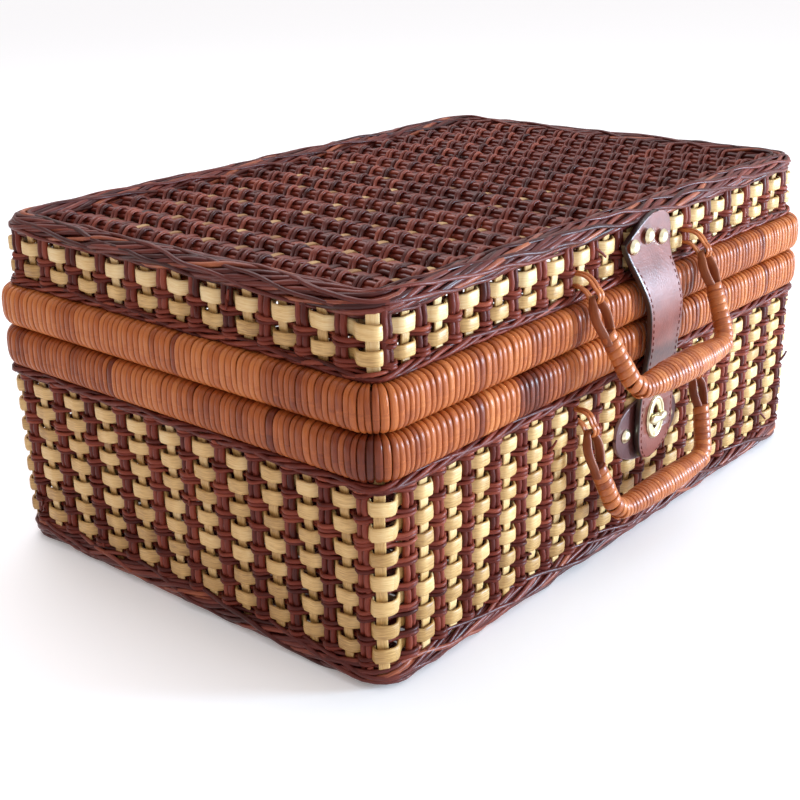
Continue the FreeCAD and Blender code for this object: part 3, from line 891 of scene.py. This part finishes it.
def fibre(name, stops, rough, sheen, grain=0.3, blotch=0.3, tone_share=0.5, depth=0.0001, across=1.6):
    """Cane or reed: a tone for each strand, fibres along it, and softer blotches."""
    n = Nodes(name)
    tone, run, side = n.attribute("tone"), n.attribute("run"), n.attribute("side")
    shift = n.math("MULTIPLY", tone, 37.0)
    far, wide = n.math("MULTIPLY", run, 0.045), n.math("MULTIPLY", side, across)
    along = n.add("CombineXYZ", {0: far, 1: wide, 2: shift}).outputs[0]
    fibres = n.noise(along, 3.0, 4.0, 0.6)
    soft = n.noise(n.add("CombineXYZ", {0: far, 2: shift}).outputs[0], 1.0, 2.0)
    grain_part = n.math("MULTIPLY", n.math("SUBTRACT", fibres, 0.5), 2 * grain)
    soft_part = n.math("MULTIPLY", n.math("SUBTRACT", soft, 0.5), 2 * blotch)
    tone_part = n.math("MULTIPLY", n.math("SUBTRACT", tone, 0.5), tone_share)
    mixed = n.math("ADD", n.math("ADD", grain_part, soft_part), n.math("ADD", tone_part, 0.5))
    colour = n.ramp(mixed, stops)
    roughness = n.vary(fibres, rough - 0.1, rough + 0.12)
    return n.finish(colour, roughness, fibres, depth, sheen=sheen)


def leather(name, stops, edge, rough, sheen):
    """Leather with a fine grain, and a colour along its edges: dark edge paint on the strap, a painted
    highlight on the patch's bevelled edge.
    """
    n = Nodes(name)
    place = n.add("TexCoord").outputs["Object"]
    pebble = n.add("TexVoronoi", {"Vector": place, "Scale": 900.0}, feature="SMOOTH_F1").outputs["Distance"]
    broad = n.noise(place, 45.0, 4.0)
    crease = n.noise(place, 260.0, 5.0, 0.6)
    mixed = n.math("ADD", n.math("MULTIPLY", broad, 0.65), n.math("MULTIPLY", crease, 0.35))
    height = n.math("ADD", n.math("MULTIPLY", pebble, 0.6), n.math("MULTIPLY", crease, 0.5))
    # Edge colour: real dark edge paint on the strap; on the patch a lighter colour that is a painted
    # highlight along the bevel.
    rim = n.vary(n.math("ABSOLUTE", n.attribute("side"), 0.0), 0.0, 1.0, 0.94, 0.985)
    colour = n.mix(rim, n.ramp(mixed, stops), (*edge, 1.0))
    roughness = n.vary(broad, rough - 0.06, rough + 0.1)
    return n.finish(colour, roughness, height, 0.00012, sheen=sheen)


def brass(name):
    """Worn brass, a little cloudy."""
    n = Nodes(name)
    place = n.add("TexCoord").outputs["Object"]
    cloud = n.noise(place, 160.0, 4.0)
    fine = n.noise(place, 1400.0, 3.0)
    colour = n.ramp(cloud, ((0.3, (0.62, 0.50, 0.28)), (0.5, (0.84, 0.75, 0.50)), (0.8, (0.92, 0.86, 0.66))))
    roughness = n.vary(cloud, 0.36, 0.24)
    return n.finish(colour, roughness, fine, 0.00003, metallic=1.0)


DARK_STOPS = ((0.15, (0.040, 0.0048, 0.003)), (0.42, (0.105, 0.0145, 0.0082)), (0.62, (0.18, 0.030, 0.0165)),
              (0.88, (0.31, 0.070, 0.037)))
REED_DARK = fibre("dark_reed", DARK_STOPS, 0.38, 0.20)
REED_TOP = fibre("top_reed", DARK_STOPS, 0.36, 0.34)
BORDER_STOPS = ((0.15, (0.042, 0.0065, 0.005)), (0.45, (0.105, 0.018, 0.0135)), (0.7, (0.20, 0.042, 0.027)),
                (0.92, (0.42, 0.125, 0.052)))
REED_BORDER = fibre("border_reed", BORDER_STOPS, 0.34, 0.26, tone_share=0.7)
PALE_STOPS = ((0.10, (0.22, 0.087, 0.020)), (0.33, (0.47, 0.26, 0.075)), (0.52, (0.68, 0.42, 0.155)),
              (0.85, (0.83, 0.62, 0.32)))
CANE_PALE = fibre("pale_cane", PALE_STOPS, 0.44, 0.6, grain=0.4, blotch=0.4, tone_share=0.35, across=2.5)
# The panels' pale strips take a browner, more blotched cane colour than the walls' pale strips.
BROWNER_STOPS = ((0.10, (0.16, 0.060, 0.026)), (0.45, (0.36, 0.19, 0.080)), (0.85, (0.58, 0.38, 0.18)))
CANE_BROWNER = fibre("browner_cane", BROWNER_STOPS, 0.5, 0.3, grain=0.4, blotch=0.8, tone_share=0.5)
TAN_STOPS = ((0.02, (0.080, 0.012, 0.005)), (0.25, (0.19, 0.033, 0.009)), (0.5, (0.42, 0.105, 0.024)),
             (0.72, (0.57, 0.185, 0.052)), (0.95, (0.68, 0.29, 0.105)))
CANE_TAN = fibre("tan_cane", TAN_STOPS, 0.31, 0.30, grain=0.22, blotch=0.2, tone_share=0.8)
CANE_HANDLE = fibre("handle_cane", TAN_STOPS, 0.33, 0.45, grain=0.25, blotch=0.5, tone_share=0.0)
RED_STOPS = ((0.15, (0.08, 0.014, 0.006)), (0.5, (0.20, 0.045, 0.017)), (0.85, (0.36, 0.11, 0.04)))
PEEL_RED = fibre("red_peel", RED_STOPS, 0.36, 0.4)
# Painted shade: hoops and handle cores take the dark red peel colour instead of bare rattan, so gaps between
# turns read as shadow.
RATTAN_PAINTED_SHADE = fibre("rattan_painted_shade", RED_STOPS, 0.6, 0.2)
LEATHER = leather("strap_leather", ((0.3, (0.115, 0.022, 0.014)), (0.55, (0.21, 0.044, 0.025)),
                                    (0.8, (0.25, 0.070, 0.042))), (0.020, 0.007, 0.006), 0.31, 0.78)
# The patch's light mauve edge colour is a painted highlight along its bevel.
LEATHER_DARK = leather("patch_leather", ((0.3, (0.060, 0.015, 0.013)), (0.55, (0.105, 0.028, 0.024)),
                                         (0.8, (0.15, 0.05, 0.042))), (0.22, 0.12, 0.12), 0.42, 0.5)
THREAD = fibre("thread", DARK_STOPS, 0.6, 0.2)
BRASS = brass("brass")


# ---------------------------------------------------------------- the case

base_front = bowed(-201.0, 213.7, 17, 11.0)
base_sides = bowed(-138.0, 137.0, 11, 8.0)
lid_front = bowed(-209.0, 206.0, 17, 4.5)
top_columns = np.linspace(-190.0, 206.0, 16)
lid_sides = np.linspace(-125.0, 136.5, 11)

PITCH = 13.6
FIRST_ROW = 20.8
pale_z = [FIRST_ROW + PITCH * k for k in range(7)]
dark_z = [(FIRST_ROW - PITCH / 2 + 1, 2)]
dark_z += [(FIRST_ROW + PITCH * (k + 0.5), 3 if k % 3 == 1 else 2) for k in range(7)]
build_wall("base", "base", 7.5, base_front, base_sides, 4.0, 118.0, pale_z, dark_z, 26)
lid_pale_z = [177.6, 190.6]
lid_dark_z = [(184.2, 2), (172.0, 3)]
build_wall("lid", "lid", 11.5, lid_front, lid_sides, 163.0, 203.0, lid_pale_z, lid_dark_z, 6)
build_borders()

build_panel("lid_top", "lid", "lid_top_panel", top_columns, -121.0, 18, 13.85, 202.0, 60.0)
floor_columns = np.linspace(-198.0, 198.0, 16)
build_panel("base_floor", "base", "base_floor_panel", floor_columns, -124.0, 18, 14.6, 6.0, 40.0)

dark_turns = [(("front", -108.0), 8.0, 36.0, -0.55), (("front", -226.0), 14.0, 16.0, -0.25),
              (("left", -137.0), 18.0, 16.0, -0.15)]
build_rim("base", "base", (0.35, 0.60), dark_turns)
build_rim("lid", "lid", (0.38, 0.62), [])

# Each handle: its name, how far it hangs outwards in degrees, how much its grip swells, its body.
for name, tilt, swell, body in (("lid_handle", 25.0, 3.3, "lid"), ("base_handle", 16.0, 2.1, "base")):
    axis = build_handle(name, tilt, swell)
    build_loops(body, axis, body)

path, half, forward = build_strap()
build_stitches(path, half, forward)
build_brass()

for name in ("turnlock_base", "hinge_leaves_lower", "hinge_leaves_upper", "hinge_rivets_lower",
             "hinge_rivets_upper", "hinge_pins"):
    frame["nodes"][name].data.materials.clear()
    frame["nodes"][name].data.materials.append(BRASS)

# ---------------------------------------------------------------- floor, light and camera


def build_stage():
    """A pale floor that glows faintly, so that it stays white."""
    mesh = bpy.data.meshes.new("floor")
    size = 20.0
    corners = [(-size, -size, 0), (size, -size, 0), (size, size, 0), (-size, size, 0)]
    mesh.from_pydata(corners, [], [(0, 1, 2, 3)])
    floor = bpy.data.objects.new("floor", mesh)
    bpy.context.scene.collection.objects.link(floor)
    pale = bpy.data.materials.new("pale_floor")
    pale.use_nodes = True
    sockets = pale.node_tree.nodes["Principled BSDF"].inputs
    sockets["Base Color"].default_value = (0.93, 0.93, 0.93, 1)
    sockets["Roughness"].default_value = 0.8
    sockets["Emission Color"].default_value = (1, 1, 1, 1)
    sockets["Emission Strength"].default_value = 0.17
    mesh.materials.append(pale)


def area_light(name, place, size, power, colour):
    light = bpy.data.lights.new(name, "AREA")
    light.shape = "DISK"
    light.size = size
    light.energy = power
    light.color = colour
    lamp = bpy.data.objects.new(name, light)
    lamp.location = place
    lamp.rotation_mode = "QUATERNION"
    lamp.rotation_quaternion = (Vector((0, 0, 0.1)) - Vector(place)).to_track_quat("-Z", "Y")
    bpy.context.scene.collection.objects.link(lamp)


def build_world():
    """A soft sky: white from the front right and above, dim and warm from the left."""
    world = bpy.data.worlds.new("world")
    world.use_nodes = True
    tree = world.node_tree
    side = tree.nodes.new("ShaderNodeVectorMath")
    side.operation = "DOT_PRODUCT"
    tree.links.new(tree.nodes.new("ShaderNodeTexCoord").outputs["Generated"], side.inputs[0])
    side.inputs[1].default_value = (0.55, -0.45, 0.70)
    ramp = tree.nodes.new("ShaderNodeValToRGB")
    level = tree.nodes.new("ShaderNodeMapRange")
    level.inputs["From Min"].default_value = -0.8
    tree.links.new(side.outputs["Value"], level.inputs["Value"])
    tree.links.new(level.outputs["Result"], ramp.inputs["Fac"])
    ramp.color_ramp.elements[0].color = (0.30, 0.235, 0.185, 1)
    ramp.color_ramp.elements[1].color = (1.08, 1.08, 1.12, 1)
    tree.links.new(ramp.outputs["Color"], tree.nodes["Background"].inputs["Color"])
    bpy.context.scene.world = world


def build_camera():
    """The camera stands at the front left, a little above the case."""
    place = Vector((-657.1, -539.2, 383.6)) * MM
    azimuth, elevation, roll = math.radians(49.198), math.radians(20.975), math.radians(-1.175)
    flat = Vector((math.sin(azimuth), math.cos(azimuth), 0))
    ahead = flat * math.cos(elevation) - Vector((0, 0, math.sin(elevation)))
    right = Vector((math.cos(azimuth), -math.sin(azimuth), 0))
    up = right.cross(ahead)
    right_rolled = math.cos(roll) * right + math.sin(roll) * up
    up_rolled = math.cos(roll) * up - math.sin(roll) * right
    camera = bpy.data.objects.new("camera", bpy.data.cameras.new("camera"))
    camera.data.sensor_width = 36
    camera.data.lens = 60.09
    camera.data.clip_start = 0.01
    turn = Matrix((right_rolled, up_rolled, -ahead)).transposed()
    camera.matrix_world = Matrix.Translation(place) @ turn.to_4x4()
    bpy.context.scene.collection.objects.link(camera)
    bpy.context.scene.camera = camera


build_stage()
build_world()
area_light("key", (0.95, -1.40, 0.28), 0.42, 40, (0.73, 1.00, 1.28))
area_light("top", (0.2, 0.9, 1.7), 1.0, 14, (1.0, 0.99, 1.06))
bpy.context.scene.view_settings.view_transform = "Standard"
build_camera()
